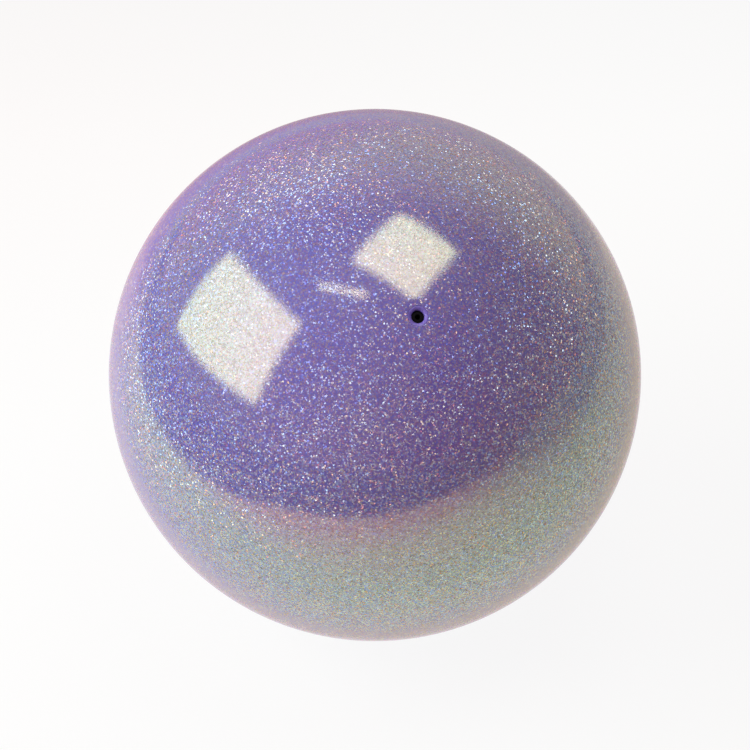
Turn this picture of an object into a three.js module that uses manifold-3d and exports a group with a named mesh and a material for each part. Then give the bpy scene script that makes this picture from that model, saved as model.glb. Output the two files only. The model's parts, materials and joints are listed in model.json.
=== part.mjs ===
// Rhythmic gymnastics ball: an inflated soft PVC ball under a clear skin that holds the glitter,
// with a valve bush bonded into its wall and a rubber plug that is drawn out to pump the ball up.
// Millimetres, +Z up. The origin is the middle of the patch that the ball rests on.
import * as THREE from "three";
import { mergeVertices } from "three/addons/utils/BufferGeometryUtils.js";
import Module from "manifold-3d";

// Driving dimensions of the ball
const BALL_DIAMETER = 185;
const REST_PATCH_DIAMETER = 27; // the soft ball flattens this far under its own weight
const SKIN_WALL = 0.6;
const BODY_WALL = 2.75;
const BOND_GAP = 0.3; // left between pieces that are bonded to each other

// Where the valve sits, in degrees: up from the horizon, and from the front (-Y) towards +X
const VALVE_ELEVATION = 51;
const VALVE_AZIMUTH = 13.7;

// Driving dimensions of the valve bush
const BORE_DIAMETER = 4.2;
const NECK_WALL = 1.3; // around the bore where the neck passes through the ball's wall
const LIP_LAND = 0.3; // flat rim outside the rounded mouth
const LIP_SINK = 0.15; // the lip lies this far below the crown of the ball
const MOUTH_DEPTH = 1; // height of the rounded mouth above the straight bore
const FLANGE_DIAMETER = 18;
const FLANGE_EDGE = 1.4; // thickness of the flange at its edge
const STEM_WALL = 2.2;
const STEM_LENGTH = 8; // below the flange, into the ball

// Driving dimensions of the plug
const PLUG_PLAY = 0.1; // between the plug's ribs and the bore
const PLUG_SINK = 0.3; // the plug's head lies this far down the straight bore
const PLUG_SHORT = 0.5; // the plug's tip ends this far above the end of the stem
const PLUG_HEAD_LENGTH = 1.6;
const PLUG_CHAMFER = 0.2;
const RIB_COUNT = 3; // spaced evenly along the shank
const RIB_HEIGHT = 0.3;
const RIB_WIDTH = 0.8;
const TIP_LENGTH = 2.4;
const TIP_TAPER = 0.6; // the tip narrows by this much all round
const SOCKET_WALL = 0.9; // shank left around the socket, which takes the hook that draws the plug
const SOCKET_DEPTH = 5;
const SOCKET_CONE = 0.8; // depth of the pointed end of the socket

// Facets
const BALL_SIDES = 48;
const BALL_RINGS = 24;
const VALVE_SIDES = 24;
const MOUTH_STEPS = 4;
const SEAT_STEPS = 3;

const ballRadius = BALL_DIAMETER / 2;
const centreHeight = Math.sqrt(ballRadius ** 2 - (REST_PATCH_DIAMETER / 2) ** 2);
const bodyInset = SKIN_WALL + BOND_GAP; // from the ball's outside to the outside of the body
const cavityInset = bodyInset + BODY_WALL;
const boreRadius = BORE_DIAMETER / 2;
const neckRadius = boreRadius + NECK_WALL;
const stemRadius = boreRadius + STEM_WALL;
const flangeRadius = FLANGE_DIAMETER / 2;

// Valve heights count from the ball's centre, and the flange seats under the flats of the facets
const facetDip = Math.cos(Math.PI / BALL_RINGS / 2) * Math.cos(Math.PI / BALL_SIDES);
const seatRadius = (ballRadius - cavityInset) * facetDip - BOND_GAP;
const lipTop = ballRadius - LIP_SINK;
const boreTop = lipTop - MOUTH_DEPTH;
const flangeBottom = Math.sqrt(seatRadius ** 2 - flangeRadius ** 2) - FLANGE_EDGE;
const stemEnd = flangeBottom - STEM_LENGTH;

const wasm = await Module();
wasm.setup();

// Turns an outline of [radius, height] points about Z.
function turned(outline, sides) {
  const points = outline.map(([radius, height]) => new THREE.Vector2(radius, height));
  return new THREE.LatheGeometry(points, sides).rotateX(Math.PI / 2);
}

// A closed geometry as a solid that can be cut.
function solidOf(geometry) {
  const bare = geometry.clone();
  bare.deleteAttribute("normal");
  bare.deleteAttribute("uv");
  const merged = mergeVertices(bare);
  const mesh = new wasm.Mesh({
    numProp: 3,
    vertProperties: merged.attributes.position.array,
    triVerts: new Uint32Array(merged.index.array),
  });
  return new wasm.Manifold(mesh);
}

function geometryOf(solid) {
  const mesh = solid.getMesh();
  const geometry = new THREE.BufferGeometry();
  geometry.setAttribute("position", new THREE.BufferAttribute(mesh.vertProperties, 3));
  geometry.setIndex(new THREE.BufferAttribute(mesh.triVerts, 1));
  geometry.computeVertexNormals();
  return geometry;
}

function piece(name, geometry, color, roughness) {
  const material = new THREE.MeshStandardMaterial({ color, roughness, metalness: 0 });
  const mesh = new THREE.Mesh(geometry, material);
  mesh.name = name;
  return mesh;
}

// The valve's own frame: its origin at the ball's centre, +Z out through the bore
const valve = new THREE.Group();
const elevation = THREE.MathUtils.degToRad(VALVE_ELEVATION);
const azimuth = THREE.MathUtils.degToRad(VALVE_AZIMUTH);
const valveAxis = new THREE.Vector3(
  Math.sin(azimuth) * Math.cos(elevation),
  -Math.cos(azimuth) * Math.cos(elevation),
  Math.sin(elevation),
);
valve.position.set(0, 0, centreHeight);
valve.quaternion.setFromUnitVectors(new THREE.Vector3(0, 0, 1), valveAxis);
valve.updateMatrix();

// The ball's surface drawn in by an inset, as an outline: its flat patch, the arc up to its widest
// ring, then the arc to the top.
function ballOutline(inset) {
  const radius = ballRadius - inset;
  const patchAngle = Math.acos((centreHeight - inset) / radius);
  const outline = [[0, inset]];
  for (let ring = 0; ring < BALL_RINGS; ring++) {
    const share = (2 * ring) / BALL_RINGS - 1; // -1 at the patch, 0 at the widest ring, 1 at the top
    const quarter = share < 0 ? Math.PI / 2 - patchAngle : Math.PI / 2;
    const angle = Math.PI / 2 + quarter * share;
    outline.push([radius * Math.sin(angle), centreHeight - radius * Math.cos(angle)]);
  }
  outline.push([0, centreHeight + radius]);
  return outline;
}

// A hollow ball between two insets, pierced by the hole that the valve's neck passes through.
function piercedShell(outerInset, innerInset) {
  const holeRadius = neckRadius + BOND_GAP;
  const hole = new THREE.CylinderGeometry(holeRadius, holeRadius, BALL_DIAMETER, VALVE_SIDES)
    .rotateX(Math.PI / 2)
    .translate(0, 0, ballRadius)
    .applyMatrix4(valve.matrix);
  const outside = solidOf(turned(ballOutline(outerInset), BALL_SIDES));
  const inside = solidOf(turned(ballOutline(innerInset), BALL_SIDES));
  return geometryOf(outside.subtract(inside).subtract(solidOf(hole)));
}

// The bush: a flange bonded to the inside of the wall, a stem that lengthens the bore into the
// ball, and a neck that ends in a rounded mouth at the surface.
function bushOutline() {
  const outline = [
    [boreRadius, stemEnd],
    [stemRadius, stemEnd],
    [stemRadius, flangeBottom],
    [flangeRadius, flangeBottom],
  ];
  for (let step = 0; step <= SEAT_STEPS; step++) {
    const radius = flangeRadius + ((neckRadius - flangeRadius) * step) / SEAT_STEPS;
    outline.push([radius, Math.sqrt(seatRadius ** 2 - radius ** 2)]);
  }
  outline.push([neckRadius, lipTop]);
  const mouthWidth = NECK_WALL - LIP_LAND;
  for (let step = 0; step <= MOUTH_STEPS; step++) {
    const angle = (Math.PI / 2) * (1 - step / MOUTH_STEPS);
    const radius = boreRadius + mouthWidth * (1 - Math.cos(angle));
    outline.push([radius, boreTop + MOUTH_DEPTH * Math.sin(angle)]);
  }
  outline.push(outline[0]);
  return outline;
}

// The plug: a tapered tip, a ribbed shank that seals in the bore, and a head with a blind socket.
function plugOutline() {
  const ribRadius = boreRadius - PLUG_PLAY;
  const shankRadius = ribRadius - RIB_HEIGHT;
  const headTop = boreTop - PLUG_SINK;
  const headBottom = headTop - PLUG_HEAD_LENGTH;
  const tipEnd = stemEnd + PLUG_SHORT;
  const shankBottom = tipEnd + TIP_LENGTH;
  const socketRadius = shankRadius - SOCKET_WALL;
  const outline = [
    [0, tipEnd],
    [shankRadius - TIP_TAPER, tipEnd],
    [shankRadius, shankBottom],
  ];
  for (let rib = 0; rib < RIB_COUNT; rib++) {
    const middle = shankBottom + ((headBottom - shankBottom) * (rib + 0.5)) / RIB_COUNT;
    outline.push([shankRadius, middle - RIB_WIDTH / 2]);
    outline.push([ribRadius, middle]);
    outline.push([shankRadius, middle + RIB_WIDTH / 2]);
  }
  outline.push([shankRadius, headBottom]);
  outline.push([ribRadius, headBottom + RIB_HEIGHT]);
  outline.push([ribRadius, headTop - PLUG_CHAMFER]);
  outline.push([ribRadius - PLUG_CHAMFER, headTop]);
  outline.push([socketRadius, headTop]);
  outline.push([socketRadius, headTop - SOCKET_DEPTH + SOCKET_CONE]);
  outline.push([0, headTop - SOCKET_DEPTH]);
  return outline;
}

const ball = new THREE.Group();
ball.add(piece("glitter_skin", piercedShell(0, SKIN_WALL), "#8a7fba", 0.15));
ball.add(piece("ball_body", piercedShell(bodyInset, cavityInset), "#6f60bd", 0.45));
valve.add(piece("valve_bush", turned(bushOutline(), VALVE_SIDES), "#7d6ecb", 0.4));
valve.add(piece("valve_plug", turned(plugOutline(), VALVE_SIDES), "#141416", 0.6));
ball.add(valve);

export default ball;
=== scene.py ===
# Rhythmic gymnastics ball on a pale studio floor: its moulded body, the valve bush in its wall,
# the glitter skin over it and the rubber plug in the bush.
import json
import math

import bpy
from mathutils import Matrix, Vector


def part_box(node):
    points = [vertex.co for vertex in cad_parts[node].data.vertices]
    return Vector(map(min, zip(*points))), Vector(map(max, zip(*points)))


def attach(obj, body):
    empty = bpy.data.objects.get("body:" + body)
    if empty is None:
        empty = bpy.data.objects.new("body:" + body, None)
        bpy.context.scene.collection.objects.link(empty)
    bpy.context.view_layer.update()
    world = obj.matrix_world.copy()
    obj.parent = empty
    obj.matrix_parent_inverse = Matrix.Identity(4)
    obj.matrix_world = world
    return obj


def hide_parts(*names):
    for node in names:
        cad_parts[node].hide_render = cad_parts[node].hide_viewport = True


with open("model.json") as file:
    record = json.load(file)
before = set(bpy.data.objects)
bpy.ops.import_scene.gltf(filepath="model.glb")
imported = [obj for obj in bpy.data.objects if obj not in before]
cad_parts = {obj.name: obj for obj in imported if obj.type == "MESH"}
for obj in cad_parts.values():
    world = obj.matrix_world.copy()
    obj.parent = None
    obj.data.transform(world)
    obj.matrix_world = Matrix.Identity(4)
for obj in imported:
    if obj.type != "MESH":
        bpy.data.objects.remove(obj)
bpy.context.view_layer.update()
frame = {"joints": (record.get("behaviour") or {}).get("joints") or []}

# Ball body
# The airtight ball itself, soft lilac PVC cast in a turning mould in one piece with a hole for the
# valve. It carries the air pressure, and its underside is pressed flat where it lies.
MM = 0.001
BODY_INSET = 0.9 * MM
BODY_WALL = 2.75 * MM
BODY_HOLE_RADIUS = 3.7 * MM
BODY_RIM_ROUND = 0.3 * MM
BODY_SEGMENTS = 96
RIM_STEPS = 4
RING_SLACK = 0.01 * MM
FINE_SLACK = 0.001 * MM
SHELL_SMOOTH_ANGLE = math.radians(30)

skin_low, skin_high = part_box("glitter_skin")
ball_radius = (skin_high[0] - skin_low[0]) / 2
ball_centre = Vector((0, 0, skin_high[2] - ball_radius))
valve_axis = Vector(frame["joints"][0]["axis"]).normalized()
valve_turn = Vector((0, 0, 1)).rotation_difference(valve_axis).to_euler()


def select_ring(piece, height, slack):
    """Selects the vertices at a height along the valve's axis, and leaves the piece in edit mode."""
    bpy.ops.object.mode_set(mode="EDIT")
    bpy.ops.mesh.select_mode(type="VERT")
    bpy.ops.mesh.select_all(action="DESELECT")
    bpy.ops.object.mode_set(mode="OBJECT")
    for vertex in piece.data.vertices:
        vertex.select = abs((vertex.co - ball_centre).dot(valve_axis) - height) < slack
    bpy.ops.object.mode_set(mode="EDIT")


def pierced_ball(name, inset, wall, hole_radius, rim_round, segments):
    """A hollow ball with a round hole at the valve and a flat patch underneath."""
    radius = ball_radius - inset
    rings = segments // 2
    ring_angle = math.pi / rings
    ring_height = radius * math.cos(ring_angle)
    ring_radius = radius * math.sin(ring_angle)
    hole_height = math.sqrt(radius**2 - hole_radius**2)
    bpy.ops.object.select_all(action="DESELECT")
    bpy.ops.mesh.primitive_uv_sphere_add(
        segments=segments, ring_count=rings, radius=radius, location=ball_centre, rotation=valve_turn)
    ball = bpy.context.object
    ball.name = ball.data.name = name
    bpy.ops.object.transform_apply(location=True, rotation=True, scale=True)

    # The ring next to the pole becomes the edge of the hole, and the pole goes
    select_ring(ball, ring_height, RING_SLACK)
    ring_middle = ball_centre + valve_axis * ring_height
    bpy.ops.transform.resize(value=(hole_radius / ring_radius,) * 3, center_override=ring_middle)
    bpy.ops.transform.translate(value=valve_axis * (hole_height - ring_height))
    select_ring(ball, radius, FINE_SLACK)
    bpy.ops.mesh.delete(type="VERT")

    # The underside is cut flat and closed
    bpy.ops.mesh.select_all(action="SELECT")
    bpy.ops.mesh.bisect(
        plane_co=(0, 0, inset), plane_no=(0, 0, -1),
        clear_outer=True, use_fill=True, threshold=FINE_SLACK)
    bpy.ops.object.mode_set(mode="OBJECT")

    # The wall grows inwards, and the outer edge of the hole is rounded
    shell = ball.modifiers.new("shell", "SOLIDIFY")
    shell.thickness = wall
    shell.offset = -1
    bpy.ops.object.modifier_apply(modifier="shell")
    select_ring(ball, hole_height, RING_SLACK)
    bpy.ops.mesh.bevel(offset=rim_round, segments=RIM_STEPS)
    bpy.ops.object.mode_set(mode="OBJECT")
    bpy.ops.object.shade_smooth_by_angle(angle=SHELL_SMOOTH_ANGLE)
    return ball


def linear(hex_colour):
    """An sRGB hex colour as linear red, green, blue and alpha."""
    levels = [int(hex_colour[i:i + 2], 16) / 255 for i in (1, 3, 5)]
    return tuple(c / 12.92 if c <= 0.04045 else ((c + 0.055) / 1.055) ** 2.4 for c in levels) + (1.0,)


def add_node(tree, kind, settings=None, values=None, links=None, stops=()):
    """Adds a node with its properties, its sockets' values, the sockets that feed it, and the
    (place, colour) stops of its colour ramp."""
    node = tree.nodes.new(kind)
    for key, value in (settings or {}).items():
        setattr(node, key, value)
    for key, value in (values or {}).items():
        node.inputs[key].default_value = value
    for key, socket in (links or {}).items():
        tree.links.new(socket, node.inputs[key])
    elements = node.color_ramp.elements if stops else []
    while len(elements) < len(stops):
        elements.new(0.5)
    for element, (place, colour) in zip(elements, stops):
        element.position = place
        element.color = colour
    return node


def new_material(name):
    """An empty node material, its tree, and its output's surface socket to link to."""
    material = bpy.data.materials.new(name)
    material.use_nodes = True
    tree = material.node_tree
    tree.nodes.clear()
    output = tree.nodes.new("ShaderNodeOutputMaterial")
    return material, tree, output.inputs["Surface"]


# Cast soft PVC: even colour right through with faint clouding, and a satin skin from the mould. The
# mould's grain is drawn at 0.25 mm, coarser than real, so that it shows.
PVC_IOR = 1.53
PVC_GRAIN_MM = 0.25
PVC_GRAIN_DEPTH = 0.02 * MM
PVC_GRAIN_STRENGTH = 0.15
PVC_GRAIN_DETAIL = 2.0
PVC_CLOUD_DETAIL = 3.0
PVC_CLOUD_SPAN = (0.3, 0.7)
BODY_DEEP = "#6a58b8"
BODY_PALE = "#7764c4"
BODY_CLOUD_MM = 9
BODY_ROUGHNESS = 0.45


def cast_pvc(name, deep, pale, cloud_mm, roughness):
    """Soft PVC clouded between a deep and a pale shade."""
    material, tree, surface = new_material(name)
    coords = add_node(tree, "ShaderNodeTexCoord")
    clouds = add_node(
        tree, "ShaderNodeTexNoise", values={"Scale": 1 / (cloud_mm * MM), "Detail": PVC_CLOUD_DETAIL},
        links={"Vector": coords.outputs["Object"]})
    tint = add_node(
        tree, "ShaderNodeValToRGB", links={"Fac": clouds.outputs["Fac"]},
        stops=[(PVC_CLOUD_SPAN[0], linear(deep)), (PVC_CLOUD_SPAN[1], linear(pale))])
    grain = add_node(
        tree, "ShaderNodeTexNoise",
        values={"Scale": 1 / (PVC_GRAIN_MM * MM), "Detail": PVC_GRAIN_DETAIL},
        links={"Vector": coords.outputs["Object"]})
    bump = add_node(
        tree, "ShaderNodeBump", values={"Strength": PVC_GRAIN_STRENGTH, "Distance": PVC_GRAIN_DEPTH},
        links={"Height": grain.outputs["Fac"]})
    shader = add_node(
        tree, "ShaderNodeBsdfPrincipled", values={"Roughness": roughness, "IOR": PVC_IOR},
        links={"Base Color": tint.outputs["Color"], "Normal": bump.outputs["Normal"]})
    tree.links.new(shader.outputs["BSDF"], surface)
    return material


body = pierced_ball(
    "ball_body_shell", BODY_INSET, BODY_WALL, BODY_HOLE_RADIUS, BODY_RIM_ROUND, BODY_SEGMENTS)
body.data.materials.append(
    cast_pvc("cast lilac PVC", BODY_DEEP, BODY_PALE, BODY_CLOUD_MM, BODY_ROUGHNESS))
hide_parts("ball_body")
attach(body, "ball")

# Valve bush
# A moulded lilac PVC insert with a flange bonded to the inside of the wall, a stem that lengthens
# the bore into the ball, and a neck whose smooth rounded mouth shows at the surface. Its sizes are
# in millimetres, with heights counted from the ball's centre.
BORE_RADIUS = 2.1
NECK_RADIUS = 3.4
STEM_RADIUS = 4.3
FLANGE_RADIUS = 9.0
LIP_TOP = 92.35
BORE_TOP = 91.35
SEAT_RADIUS = 88.17
FLANGE_BOTTOM = 86.31
STEM_END = 78.31
STEM_CHAMFER = 0.3
FLANGE_CHAMFER = 0.4
FLANGE_FILLET = 0.6
FLANGE_FILLET_MIDDLE = 0.2
LIP_ROUND = 0.1
LIP_ROUND_MIDDLE = 0.03
LIP_LAND = 0.15
SEAT_STEPS = 6
MOUTH_STEPS = 10
VALVE_STEPS = 96
TURN_SLACK = 0.002 * MM
TURN_SMOOTH_ANGLE = math.radians(35)
BUSH_DEEP = "#8474d6"
BUSH_PALE = "#9484e0"
BUSH_CLOUD_MM = 3
BUSH_ROUGHNESS = 0.2
valve_side = valve_axis.orthogonal().normalized()


def turned(name, outline, steps):
    """Spins an outline of (radius, height) points in millimetres round the valve's axis."""
    places = []
    for radius, height in outline:
        places.append(ball_centre + (valve_axis * height + valve_side * radius) * MM)
    bpy.ops.object.select_all(action="DESELECT")
    bpy.ops.mesh.primitive_plane_add(size=MM, location=places[0])
    piece = bpy.context.object
    piece.name = piece.data.name = name
    bpy.ops.object.transform_apply(location=True, rotation=True, scale=True)
    bpy.ops.object.mode_set(mode="EDIT")
    bpy.ops.mesh.select_all(action="SELECT")
    bpy.ops.mesh.merge(type="CENTER")
    for before, after in zip(places, places[1:]):
        bpy.ops.mesh.extrude_region_move(TRANSFORM_OT_translate={"value": after - before})
    bpy.ops.mesh.select_all(action="SELECT")
    bpy.ops.mesh.spin(steps=steps, angle=2 * math.pi, center=ball_centre, axis=valve_axis)
    bpy.ops.mesh.select_all(action="SELECT")
    bpy.ops.mesh.remove_doubles(threshold=TURN_SLACK)
    bpy.ops.mesh.normals_make_consistent(inside=False)
    bpy.ops.object.mode_set(mode="OBJECT")
    bpy.ops.object.shade_smooth_by_angle(angle=TURN_SMOOTH_ANGLE)
    return piece


bush_outline = [
    (BORE_RADIUS, STEM_END + STEM_CHAMFER),
    (BORE_RADIUS + STEM_CHAMFER, STEM_END),
    (STEM_RADIUS - STEM_CHAMFER, STEM_END),
    (STEM_RADIUS, STEM_END + STEM_CHAMFER),
    (STEM_RADIUS, FLANGE_BOTTOM - FLANGE_FILLET),
    (STEM_RADIUS + FLANGE_FILLET_MIDDLE, FLANGE_BOTTOM - FLANGE_FILLET_MIDDLE),
    (STEM_RADIUS + FLANGE_FILLET, FLANGE_BOTTOM),
    (FLANGE_RADIUS - FLANGE_CHAMFER, FLANGE_BOTTOM),
    (FLANGE_RADIUS, FLANGE_BOTTOM + FLANGE_CHAMFER),
]

# The flange seats against the curve of the wall, up to the neck
for step in range(SEAT_STEPS + 1):
    seat = FLANGE_RADIUS + (NECK_RADIUS - FLANGE_RADIUS) * step / SEAT_STEPS
    bush_outline.append((seat, math.sqrt(SEAT_RADIUS**2 - seat**2)))
bush_outline += [
    (NECK_RADIUS, LIP_TOP - LIP_ROUND),
    (NECK_RADIUS - LIP_ROUND_MIDDLE, LIP_TOP - LIP_ROUND_MIDDLE),
    (NECK_RADIUS - LIP_ROUND, LIP_TOP),
]

# The mouth curves from the lip down into the bore
mouth_width = NECK_RADIUS - LIP_LAND - BORE_RADIUS
mouth_depth = LIP_TOP - BORE_TOP
for step in range(1, MOUTH_STEPS + 1):
    angle = math.pi / 2 * (1 - step / MOUTH_STEPS)
    mouth_radius = BORE_RADIUS + mouth_width * (1 - math.cos(angle))
    bush_outline.append((mouth_radius, BORE_TOP + mouth_depth * math.sin(angle)))
bush_outline.append(bush_outline[0])

bush = turned("valve_bush_insert", bush_outline, VALVE_STEPS)
bush.data.materials.append(
    cast_pvc("moulded lilac PVC", BUSH_DEEP, BUSH_PALE, BUSH_CLOUD_MM, BUSH_ROUGHNESS))
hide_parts("valve_bush")
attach(bush, "ball")

# Glitter skin
# A clear soft PVC skin over the body, filled with a close layer of silvery violet glitter and glossy
# outside. It is bonded to the body all over and ends in a fine rounded edge at the valve's neck.
SKIN_INSET = 0
SKIN_WALL = 0.6 * MM
SKIN_HOLE_RADIUS = 3.415 * MM
SKIN_RIM_ROUND = 0.06 * MM
SKIN_SEGMENTS = 192

skin = pierced_ball(
    "glitter_skin_shell", SKIN_INSET, SKIN_WALL, SKIN_HOLE_RADIUS, SKIN_RIM_ROUND, SKIN_SEGMENTS)

# Glitter in clear PVC: the close layer of flat flakes is a blurred violet mirror, and the film on
# them tints its gloss pale yellow, then yellow-green, then mauve as the surface slants away. Other
# flakes lean, and flash white, blue or orange by how steeply. Real flakes are 0.1 to 0.2 mm. The
# leaning ones are drawn at 0.45 mm, coarser than real, so that they show.
FLAT_FLAKE_MM = 0.15
FLAT_LEAN = 0.015
FLAT_BLUR = (0.05, 0.14)
FLAT_IOR = 4.8  # makes the layer mirror like coated flakes, not like plain PVC
FLAT_TINTS = [
    (0.0, "#5c72f8"), (0.35, "#7476f6"), (0.65, "#8c7af4"), (0.85, "#a294f4"), (1.0, "#ccc6fa")]
FILM_IOR = 1.2
FILM_NANOMETRES = (468.0, 626.0)
GLOSS_TINTS = [
    (0.07, "#e7eca6"), (0.16, "#eaf2af"), (0.3, "#fef5aa"), (0.42, "#fdff97"), (0.56, "#fcff8e"),
    (0.64, "#dfe881"), (0.77, "#dada7c"), (0.86, "#d1ce86"), (0.97, "#bcb5e1")]
SPARK_FLAKE_MM = 0.45
SPARK_LEAN = (0.18, 1.2)
SPARK_ROUGHNESS = 0.18
SPARK_HUE_SPREAD = (-0.06, 0.06)
SPARK_TINTS = [
    (0.68, "#a85868"), (0.72, "#e08068"), (0.76, "#f0b480"), (0.81, "#e8dcb4"),
    (0.86, "#dceef0"), (0.905, "#98caf4"), (0.94, "#6c84f0"), (0.98, "#b8c8f8")]
SPARK_SHARES = [(0.0, 0.22), (0.46, 0.46), (0.64, 0.46), (0.8, 0.2)]
SPARK_VARIETY = (0.15, 1.85)
CHANCE_MIDDLE = (0.5, 0.5, 0.5)
CLEAR_COAT = {"Coat Weight": 0.25, "Coat Roughness": 0.04, "Coat IOR": 1.5}

material, tree, surface = new_material("violet glitter under clear PVC")
coords = add_node(tree, "ShaderNodeTexCoord")
shape = add_node(tree, "ShaderNodeNewGeometry")
slant = add_node(tree, "ShaderNodeLayerWeight")


def scattered_flakes(size_mm):
    """Cells of a flake's size, a chance for each, and three more chances for each."""
    cells = add_node(
        tree, "ShaderNodeTexVoronoi", values={"Scale": 1 / (size_mm * MM)},
        links={"Vector": coords.outputs["Object"]})
    chance = add_node(
        tree, "ShaderNodeTexWhiteNoise", links={"Vector": cells.outputs["Position"]})
    chances = add_node(tree, "ShaderNodeSeparateColor", links={"Color": chance.outputs["Color"]})
    return cells, chance, chances


def leaning_normal(cells, lean_values, lean_links):
    """The surface normal, leaned to a random side from flake to flake."""
    aim = add_node(
        tree, "ShaderNodeVectorMath", {"operation": "SUBTRACT"}, {1: CHANCE_MIDDLE},
        {0: cells.outputs["Color"]})
    across = add_node(
        tree, "ShaderNodeVectorMath", {"operation": "CROSS_PRODUCT"},
        links={0: shape.outputs["Normal"], 1: aim.outputs["Vector"]})
    heading = add_node(
        tree, "ShaderNodeVectorMath", {"operation": "NORMALIZE"}, links={0: across.outputs["Vector"]})
    lean = add_node(
        tree, "ShaderNodeVectorMath", {"operation": "SCALE"}, lean_values,
        {0: heading.outputs["Vector"], **lean_links})
    leaned = add_node(
        tree, "ShaderNodeVectorMath", {"operation": "ADD"},
        links={0: shape.outputs["Normal"], 1: lean.outputs["Vector"]})
    return add_node(
        tree, "ShaderNodeVectorMath", {"operation": "NORMALIZE"}, links={0: leaned.outputs["Vector"]})


flat_cells, _, flat_chances = scattered_flakes(FLAT_FLAKE_MM)
spark_cells, spark_chance, spark_chances = scattered_flakes(SPARK_FLAKE_MM)

# The flat flakes, each with its own film and blur
flat_normal = leaning_normal(flat_cells, {"Scale": FLAT_LEAN}, {})
flat_tint = add_node(
    tree, "ShaderNodeValToRGB", links={"Fac": spark_chances.outputs["Red"]},
    stops=[(place, linear(colour)) for place, colour in FLAT_TINTS])
film = add_node(
    tree, "ShaderNodeMapRange", values={"To Min": FILM_NANOMETRES[0], "To Max": FILM_NANOMETRES[1]},
    links={"Value": flat_chances.outputs["Green"]})
blur = add_node(
    tree, "ShaderNodeMapRange", values={"To Min": FLAT_BLUR[0], "To Max": FLAT_BLUR[1]},
    links={"Value": flat_chances.outputs["Blue"]})
gloss_tint = add_node(
    tree, "ShaderNodeValToRGB", links={"Fac": slant.outputs["Facing"]},
    stops=[(facing, linear(colour)) for facing, colour in GLOSS_TINTS])
flat_shader = add_node(
    tree, "ShaderNodeBsdfPrincipled",
    values={"IOR": FLAT_IOR, "Thin Film IOR": FILM_IOR, **CLEAR_COAT},
    links={
        "Base Color": flat_tint.outputs["Color"], "Normal": flat_normal.outputs["Vector"],
        "Specular Tint": gloss_tint.outputs["Color"],
        "Roughness": blur.outputs["Result"], "Thin Film Thickness": film.outputs["Result"]})

# The leaning flakes: two chances added together make a middling lean the most common
two_chances = add_node(
    tree, "ShaderNodeMath", {"operation": "ADD"},
    links={0: spark_chances.outputs["Green"], 1: spark_chances.outputs["Blue"]})
spark_lean = add_node(
    tree, "ShaderNodeMapRange",
    values={"From Max": 2.0, "To Min": SPARK_LEAN[0], "To Max": SPARK_LEAN[1]},
    links={"Value": two_chances.outputs["Value"]})
spark_normal = leaning_normal(spark_cells, {}, {"Scale": spark_lean.outputs["Result"]})
steepness = add_node(
    tree, "ShaderNodeVectorMath", {"operation": "DOT_PRODUCT"},
    links={0: shape.outputs["Normal"], 1: spark_normal.outputs["Vector"]})
hue_shift = add_node(
    tree, "ShaderNodeMapRange",
    values={"To Min": SPARK_HUE_SPREAD[0], "To Max": SPARK_HUE_SPREAD[1]},
    links={"Value": spark_chance.outputs["Value"]})
hue = add_node(
    tree, "ShaderNodeMath", {"operation": "ADD"},
    links={0: steepness.outputs["Value"], 1: hue_shift.outputs["Result"]})
spark_tint = add_node(
    tree, "ShaderNodeValToRGB", links={"Fac": hue.outputs["Value"]},
    stops=[(place, linear(colour)) for place, colour in SPARK_TINTS])
spark_shader = add_node(
    tree, "ShaderNodeBsdfPrincipled",
    values={"Metallic": 1.0, "Roughness": SPARK_ROUGHNESS, **CLEAR_COAT},
    links={"Base Color": spark_tint.outputs["Color"], "Normal": spark_normal.outputs["Vector"]})

# The share of leaning flakes in the gloss follows the slant, and differs from flake to flake
slant_share = add_node(
    tree, "ShaderNodeValToRGB", links={"Fac": slant.outputs["Facing"]},
    stops=[(facing, (share, share, share, 1)) for facing, share in SPARK_SHARES])
variety = add_node(
    tree, "ShaderNodeMapRange", values={"To Min": SPARK_VARIETY[0], "To Max": SPARK_VARIETY[1]},
    links={"Value": spark_chances.outputs["Red"]})
spark_share = add_node(
    tree, "ShaderNodeMath", {"operation": "MULTIPLY"},
    links={0: slant_share.outputs["Color"], 1: variety.outputs["Result"]})
glitter = add_node(
    tree, "ShaderNodeMixShader",
    links={
        "Fac": spark_share.outputs["Value"],
        1: flat_shader.outputs["BSDF"], 2: spark_shader.outputs["BSDF"]})
tree.links.new(glitter.outputs["Shader"], surface)

skin.data.materials.append(material)
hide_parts("glitter_skin")
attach(skin, "ball")

# Valve plug
# A black rubber stopper pressed into the bush: a tapered tip, three sealing ribs and a head with a
# blind socket for the hook that draws it. Its sizes are in millimetres, as the bush's are.
SHANK_RADIUS = 1.7
TIP_LENGTH = 2.4
TIP_SHORTFALL = 0.5  # how far the tip stops short of the stem's end
TIP_NOSE = [(0.8, 0.0), (1.05, 0.15), (1.15, 0.4)]  # radius, and height above the tip's end
RIB_COUNT = 3
RIB_RADIUS = 1.95
RIB_HALF_FOOT = 0.4
RIB_HALF_CREST = 0.1
HEAD_RADIUS = 2.0
HEAD_LENGTH = 1.6
HEAD_SINK = 0.3  # how far the head lies below the top of the bore
HEAD_TAPER = 0.3
HEAD_ROUND = 0.25
HEAD_ROUND_MIDDLE = 0.07
SOCKET_RADIUS = 0.8
SOCKET_CHAMFER = 0.15
SOCKET_STRAIGHT = 4.2
SOCKET_DEPTH = 5

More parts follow.
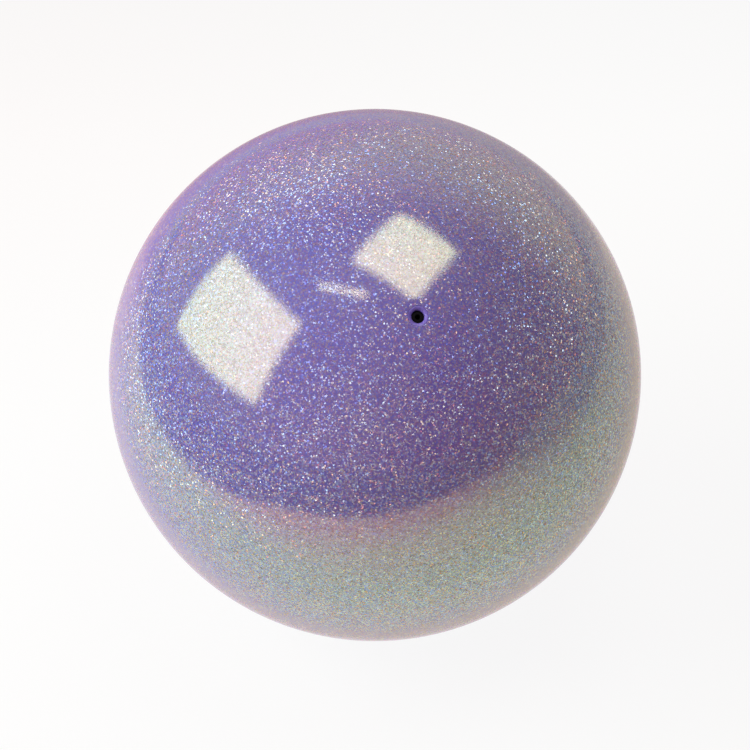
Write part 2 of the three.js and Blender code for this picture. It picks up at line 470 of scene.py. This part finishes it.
tip_end = STEM_END + TIP_SHORTFALL
shank_bottom = tip_end + TIP_LENGTH
head_top = BORE_TOP - HEAD_SINK
head_bottom = head_top - HEAD_LENGTH
plug_outline = [(0, tip_end)]
plug_outline += [(radius, tip_end + height) for radius, height in TIP_NOSE]
plug_outline.append((SHANK_RADIUS, shank_bottom))
for rib in range(RIB_COUNT):
    middle = shank_bottom + (head_bottom - shank_bottom) * (rib + 0.5) / RIB_COUNT
    plug_outline += [
        (SHANK_RADIUS, middle - RIB_HALF_FOOT),
        (RIB_RADIUS, middle - RIB_HALF_CREST),
        (RIB_RADIUS, middle + RIB_HALF_CREST),
        (SHANK_RADIUS, middle + RIB_HALF_FOOT),
    ]
plug_outline += [
    (SHANK_RADIUS, head_bottom),
    (HEAD_RADIUS, head_bottom + HEAD_TAPER),
    (HEAD_RADIUS, head_top - HEAD_ROUND),
    (HEAD_RADIUS - HEAD_ROUND_MIDDLE, head_top - HEAD_ROUND_MIDDLE),
    (HEAD_RADIUS - HEAD_ROUND, head_top),
    (SOCKET_RADIUS + SOCKET_CHAMFER, head_top),
    (SOCKET_RADIUS, head_top - SOCKET_CHAMFER),
    (SOCKET_RADIUS, head_top - SOCKET_STRAIGHT),
    (0, head_top - SOCKET_DEPTH),
]
plug = turned("valve_plug_stopper", plug_outline, VALVE_STEPS)

# Moulded rubber: near black and satin, with a faint grain from the mould that dulls its shine. The
# grain is drawn at 0.3 mm, coarser than real, so that it shows.
RUBBER_DEEP = "#030303"
RUBBER_PALE = "#08080a"
RUBBER_SPAN = (0.3, 0.75)
RUBBER_ROUGHNESS = 0.6
RUBBER_IOR = 1.52
RUBBER_SPECULAR = 0.2
RUBBER_GRAIN_MM = 0.3
RUBBER_GRAIN_DEPTH = 0.03 * MM
RUBBER_GRAIN_STRENGTH = 0.3
RUBBER_GRAIN_DETAIL = 3.0

material, tree, surface = new_material("moulded black rubber")
coords = add_node(tree, "ShaderNodeTexCoord")
grain = add_node(
    tree, "ShaderNodeTexNoise",
    values={"Scale": 1 / (RUBBER_GRAIN_MM * MM), "Detail": RUBBER_GRAIN_DETAIL},
    links={"Vector": coords.outputs["Object"]})
tint = add_node(
    tree, "ShaderNodeValToRGB", links={"Fac": grain.outputs["Fac"]},
    stops=[(RUBBER_SPAN[0], linear(RUBBER_DEEP)), (RUBBER_SPAN[1], linear(RUBBER_PALE))])
bump = add_node(
    tree, "ShaderNodeBump", values={"Strength": RUBBER_GRAIN_STRENGTH, "Distance": RUBBER_GRAIN_DEPTH},
    links={"Height": grain.outputs["Fac"]})
shader = add_node(
    tree, "ShaderNodeBsdfPrincipled",
    values={"Roughness": RUBBER_ROUGHNESS, "IOR": RUBBER_IOR, "Specular IOR Level": RUBBER_SPECULAR},
    links={"Base Color": tint.outputs["Color"], "Normal": bump.outputs["Normal"]})
tree.links.new(shader.outputs["BSDF"], surface)

plug.data.materials.append(material)
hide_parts("valve_plug")
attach(plug, "plug")

# Studio floor
# A wide sheet of pale matt paper. Its colour is painted white round the ball like a pool of light,
# and greys further out on every side as painted shade; the grey on the right is a painted shadow of
# the ball. It takes a blush along its front and behind the ball on the left.
FLOOR_SIZE = 12
# Each edge paints light and shade into the paper's colour: white where painted as lit, grey beyond as
# painted shade
FLOOR_PAINTED_SHADE_EDGES = [  # which way the paper brightens, its level under the ball, and its least level
    ((0.836, 0.549, 0), 0.325, 0.0),
    ((0.375, 0.927, 0), 0.355, 0.0),
    ((-0.047, 0.0195, 0), 0.0395, 0.005),
    ((0, -0.15, 0), 0.08, 0.022),
]
FULLY_LIT = 0.04
PAPER_PAINTED_SHADE_GREY = "#6c6c70"
PAPER_WHITE = "#fefef6"
PAPER_ROUGHNESS = 0.9
PAPER_IOR = 1.45
FRONT_EDGE = 1
FRONT_BLUSH = "#fad0d8"
FRONT_BLUSH_SPAN = (0.18, 0.085)
REAR_BLUSH = "#f9d4cb"
REAR_BLUSH_MIDDLE = (-0.31, 0.52, 0)
REAR_BLUSH_SPAN = (0.5, 0.16)
GLOSS_GLOW = 1.0
CAMERA_GLOW = 0.9

bpy.ops.object.select_all(action="DESELECT")
bpy.ops.mesh.primitive_plane_add(size=FLOOR_SIZE, location=(0, 0, 0))
floor = bpy.context.object
floor.name = "studio_floor"

# Matt paper without shine. The camera sees it as a nearly even white sheet that keeps the ball's
# shadow, and the ball mirrors it as a glow of its white, its painted grey shade and its blush.
material, tree, surface = new_material("pale studio paper")
coords = add_node(tree, "ShaderNodeTexCoord")
levels = []
kept_levels = []
for direction, level, least in FLOOR_PAINTED_SHADE_EDGES:
    along = add_node(
        tree, "ShaderNodeVectorMath", {"operation": "DOT_PRODUCT"}, {1: direction},
        {0: coords.outputs["Object"]})
    levels.append(add_node(
        tree, "ShaderNodeMath", {"operation": "ADD"}, {1: level}, {0: along.outputs["Value"]}))
    kept_levels.append(add_node(
        tree, "ShaderNodeMath", {"operation": "MAXIMUM"}, {1: least},
        {0: levels[-1].outputs["Value"]}))

# The darkest of the edges decides how lit the paper's colour is painted
lit = kept_levels[0]
for kept in kept_levels[1:]:
    lit = add_node(
        tree, "ShaderNodeMath", {"operation": "MINIMUM"},
        links={0: lit.outputs["Value"], 1: kept.outputs["Value"]})
# The paper's colour runs from a painted grey shade to white
grey = add_node(
    tree, "ShaderNodeValToRGB", links={"Fac": lit.outputs["Value"]},
    stops=[(0.0, linear(PAPER_PAINTED_SHADE_GREY)), (FULLY_LIT, linear(PAPER_WHITE))])
front = add_node(
    tree, "ShaderNodeMapRange",
    values={"From Min": FRONT_BLUSH_SPAN[0], "From Max": FRONT_BLUSH_SPAN[1]},
    links={"Value": levels[FRONT_EDGE].outputs["Value"]})
front_tone = add_node(
    tree, "ShaderNodeMixRGB", {"blend_type": "MULTIPLY"}, {"Color2": linear(FRONT_BLUSH)},
    {"Fac": front.outputs["Result"], "Color1": grey.outputs["Color"]})
rear_distance = add_node(
    tree, "ShaderNodeVectorMath", {"operation": "DISTANCE"}, {1: REAR_BLUSH_MIDDLE},
    {0: coords.outputs["Object"]})
rear = add_node(
    tree, "ShaderNodeMapRange", {"interpolation_type": "SMOOTHSTEP"},
    {"From Min": REAR_BLUSH_SPAN[0], "From Max": REAR_BLUSH_SPAN[1]},
    {"Value": rear_distance.outputs["Value"]})
tone = add_node(
    tree, "ShaderNodeMixRGB", {"blend_type": "MULTIPLY"}, {"Color2": linear(REAR_BLUSH)},
    {"Fac": rear.outputs["Result"], "Color1": front_tone.outputs["Color"]})
paper = add_node(
    tree, "ShaderNodeBsdfPrincipled", values={"Roughness": PAPER_ROUGHNESS, "IOR": PAPER_IOR},
    links={"Base Color": tone.outputs["Color"]})
path = add_node(tree, "ShaderNodeLightPath")
sheet = paper.outputs["BSDF"]
for ray, share, glow_links in [
        ("Is Glossy Ray", GLOSS_GLOW, {"Color": tone.outputs["Color"]}),
        ("Is Camera Ray", CAMERA_GLOW, {})]:
    glow = add_node(
        tree, "ShaderNodeEmission", values={"Color": (1, 1, 1, 1), "Strength": 1.0}, links=glow_links)
    seen = add_node(
        tree, "ShaderNodeMath", {"operation": "MULTIPLY"}, {1: share}, {0: path.outputs[ray]})
    mixed = add_node(
        tree, "ShaderNodeMixShader",
        links={"Fac": seen.outputs["Value"], 1: sheet, 2: glow.outputs["Emission"]})
    sheet = mixed.outputs["Shader"]
tree.links.new(sheet, surface)
floor.data.materials.append(material)

# Studio lamps
# Two large softboxes, one low on the left and one overhead, a slim tube between them, and a wide
# warm scrim on the left that fills the shadows and leaves no reflection of its own.
LAMP_TINT = (0.94, 1.0, 1.13)
SCRIM_TINT = (1.0, 1.0, 0.78)
SOFTBOX_RADIANCE = 2.3
TUBE_RADIANCE = 6.0
SCRIM_RADIANCE = 2.4


def softbox(name, centre, across, facing, width, height, radiance):
    """A rectangular lamp of an even radiance. Its width lies along across, and it faces facing."""
    lamp_data = bpy.data.lights.new(name, "AREA")
    lamp_data.shape = "RECTANGLE"
    lamp_data.color = LAMP_TINT
    lamp_data.size = width
    lamp_data.size_y = height
    lamp_data.energy = radiance * math.pi * width * height
    lamp = bpy.data.objects.new(name, lamp_data)
    bpy.context.scene.collection.objects.link(lamp)
    back = -Vector(facing).normalized()
    side = Vector(across)
    side = (side - back * side.dot(back)).normalized()
    up = back.cross(side)
    lamp.matrix_world = Matrix.Translation(centre) @ Matrix((side, up, back)).transposed().to_4x4()
    return lamp


softbox(
    "left_softbox", centre=(-0.776, -0.088, 0.539), across=(-0.471, 0.877, -0.093),
    facing=(0.774, 0.361, -0.520), width=0.88, height=0.556, radiance=SOFTBOX_RADIANCE)
softbox(
    "slim_tube", centre=(-0.25, -0.302, 1.215), across=(0.321, -0.124, 0.037),
    facing=(0.21, 0.255, -0.944), width=0.40, height=0.022, radiance=TUBE_RADIANCE)
softbox(
    "upper_softbox", centre=(0.230, 0.042, 1.160), across=(-0.826, 0.533, 0.184),
    facing=(-0.049, 0.257, -0.965), width=0.536, height=0.608, radiance=SOFTBOX_RADIANCE)
scrim = softbox(
    "side_scrim", centre=(-1.5, -0.2, 1.1), across=(0, 1, 0),
    facing=(1.5, 0.2, -1.0), width=1.4, height=1.4, radiance=SCRIM_RADIANCE)
scrim.visible_glossy = False
scrim.data.color = SCRIM_TINT

# Dim room
# A mauve-grey room that is dim towards the viewer and glows softly behind the ball. It has a paler
# wall in front on the left and a pinkish one behind on the left.
ROOM_DEPTH = (0.0, 0.98, -0.15)
ROOM_SHADES = [(0.05, "#744d5b"), (0.4, "#715f65"), (0.55, "#715f65"), (0.95, "#e8cec0")]
ROOM_WALLS = [  # how the wall's colour joins the room's, where it stands, where it starts and is full
    ("ADD", (-0.7, -0.5, 0.5), (0.2, 0.85), "#615d52"),
    ("MULTIPLY", (-0.4, 0.91, 0.1), (0.84, 0.98), "#f3d7f1"),
]

world = bpy.data.worlds.new("dim studio room")
bpy.context.scene.world = world
world.use_nodes = True
tree = world.node_tree
tree.nodes.clear()
coords = add_node(tree, "ShaderNodeTexCoord")
depth = add_node(
    tree, "ShaderNodeVectorMath", {"operation": "DOT_PRODUCT"}, {1: ROOM_DEPTH},
    {0: coords.outputs["Generated"]})
front_to_rear = add_node(
    tree, "ShaderNodeMapRange", values={"From Min": -1.0, "From Max": 1.0},
    links={"Value": depth.outputs["Value"]})
shade = add_node(
    tree, "ShaderNodeValToRGB", links={"Fac": front_to_rear.outputs["Result"]},
    stops=[(place, linear(colour)) for place, colour in ROOM_SHADES])
shade.color_ramp.interpolation = "EASE"
for blend, wall, (start, full), colour in ROOM_WALLS:
    nearness = add_node(
        tree, "ShaderNodeVectorMath", {"operation": "DOT_PRODUCT"}, {1: wall},
        {0: coords.outputs["Generated"]})
    fade = add_node(
        tree, "ShaderNodeMapRange", {"interpolation_type": "SMOOTHSTEP"},
        {"From Min": start, "From Max": full}, {"Value": nearness.outputs["Value"]})
    shade = add_node(
        tree, "ShaderNodeMixRGB", {"blend_type": blend}, {"Color2": linear(colour)},
        {"Fac": fade.outputs["Result"], "Color1": shade.outputs["Color"]})
room = add_node(tree, "ShaderNodeBackground", links={"Color": shade.outputs["Color"]})
add_node(tree, "ShaderNodeOutputWorld", links={"Surface": room.outputs["Background"]})

# Camera
# At the photograph's height and distance, with the ball in the middle of a square frame.
CAMERA_ELEVATION = math.radians(40)
CAMERA_DISTANCE = 1.0
BALL_RADIUS_PIXELS = 266.2
HALF_FRAME_PIXELS = 375
SENSOR_WIDTH = 36
camera_data = bpy.data.cameras.new("camera")
camera = bpy.data.objects.new("camera", camera_data)
bpy.context.scene.collection.objects.link(camera)
towards = Vector((0, -math.cos(CAMERA_ELEVATION), math.sin(CAMERA_ELEVATION)))
camera.location = ball_centre + towards * CAMERA_DISTANCE
camera.rotation_euler = (math.pi / 2 - CAMERA_ELEVATION, 0, 0)
ball_edge = ball_radius / math.sqrt(CAMERA_DISTANCE**2 - ball_radius**2)
ball_share = BALL_RADIUS_PIXELS / HALF_FRAME_PIXELS
camera_data.sensor_width = SENSOR_WIDTH
camera_data.lens = SENSOR_WIDTH / 2 * ball_share / ball_edge
bpy.context.scene.camera = camera
bpy.context.scene.view_settings.view_transform = "Standard"
